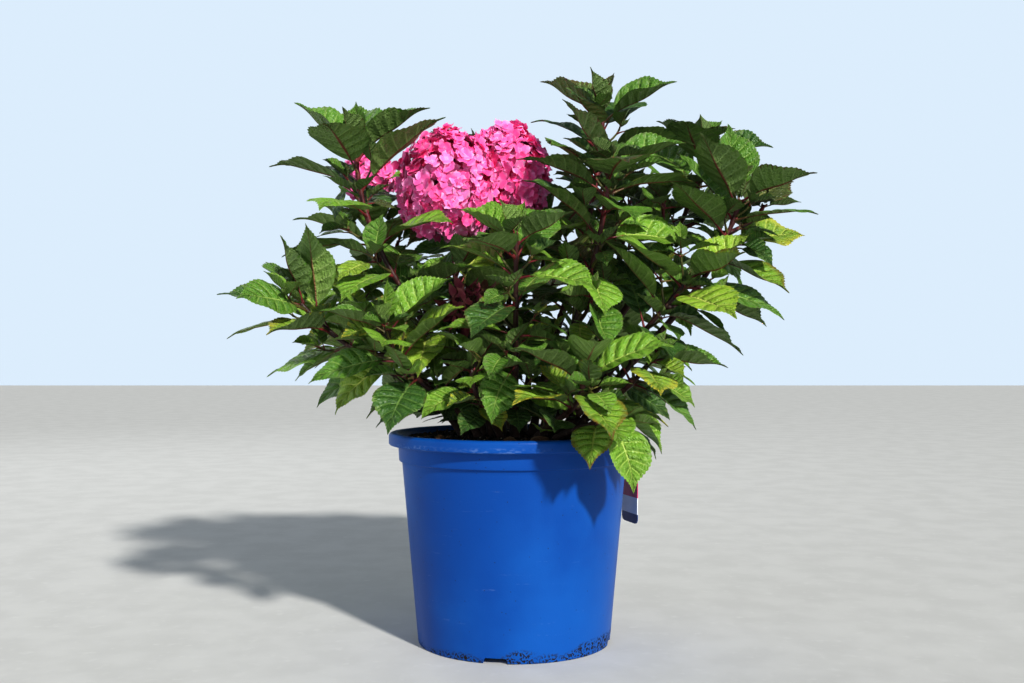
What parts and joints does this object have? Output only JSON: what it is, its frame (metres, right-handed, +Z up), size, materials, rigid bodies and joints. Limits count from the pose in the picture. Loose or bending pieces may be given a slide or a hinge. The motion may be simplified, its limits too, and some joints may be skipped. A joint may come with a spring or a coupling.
{
  "type": "potted hydrangea shrub",
  "caption": "Mophead hydrangea shrub with broad toothed leaves on upright canes and round pink flower heads, growing in a plain blue plastic nursery pot.",
  "frame": {"origin": "centre of the pot's flat underside", "axes": "+Z up, +X to the plant's right as seen from the front, +Y away from the viewer"},
  "size_m": [0.6502, 0.5235, 0.6499],
  "materials": {
    "pot": "satin moulded blue plastic",
    "soil": "moist dark compost, matt",
    "care_label": "printed thin plastic with no wording",
    "cane": "young bark, red-brown",
    "leaf": "soft leaf, slightly glossy above",
    "petal": "soft petals, matt"
  },
  "bodies": {
    "root": {"bloom_faded": "petal", "bloom_head_back": "petal", "bloom_head_left": "petal", "bloom_head_right": "petal", "cane_back": "cane", "cane_back_left": "cane", "cane_back_left_low": "cane", "cane_back_low": "cane", "cane_back_right": "cane", "cane_back_right_low": "cane", "cane_back_tall": "cane", "cane_centre_front": "cane", "cane_centre_tall": "cane", "cane_faded": "cane", "cane_front": "cane", "cane_front_left": "cane", "cane_front_rim": "cane", "cane_head_back": "cane", "cane_head_left": "cane", "cane_head_right": "cane", "cane_left_front": "cane", "cane_left_low": "cane", "cane_left_tall": "cane", "cane_right": "cane", "cane_right_back": "cane", "cane_right_front": "cane", "cane_right_low": "cane", "cane_right_of_centre": "cane", "care_label": "care_label", "leaves_back": "leaf", "leaves_back_left": "leaf", "leaves_back_left_low": "leaf", "leaves_back_low": "leaf", "leaves_back_right": "leaf", "leaves_back_right_low": "leaf", "leaves_back_tall": "leaf", "leaves_centre_front": "leaf", "leaves_centre_tall": "leaf", "leaves_faded": "leaf", "leaves_front": "leaf", "leaves_front_left": "leaf", "leaves_front_rim": "leaf", "leaves_head_back": "leaf", "leaves_head_left": "leaf", "leaves_head_right": "leaf", "leaves_left_front": "leaf", "leaves_left_low": "leaf", "leaves_left_tall": "leaf", "leaves_right": "leaf", "leaves_right_back": "leaf", "leaves_right_front": "leaf", "leaves_right_low": "leaf", "leaves_right_of_centre": "leaf", "pot": "pot", "soil": "soil"}
  },
  "joints": []
}
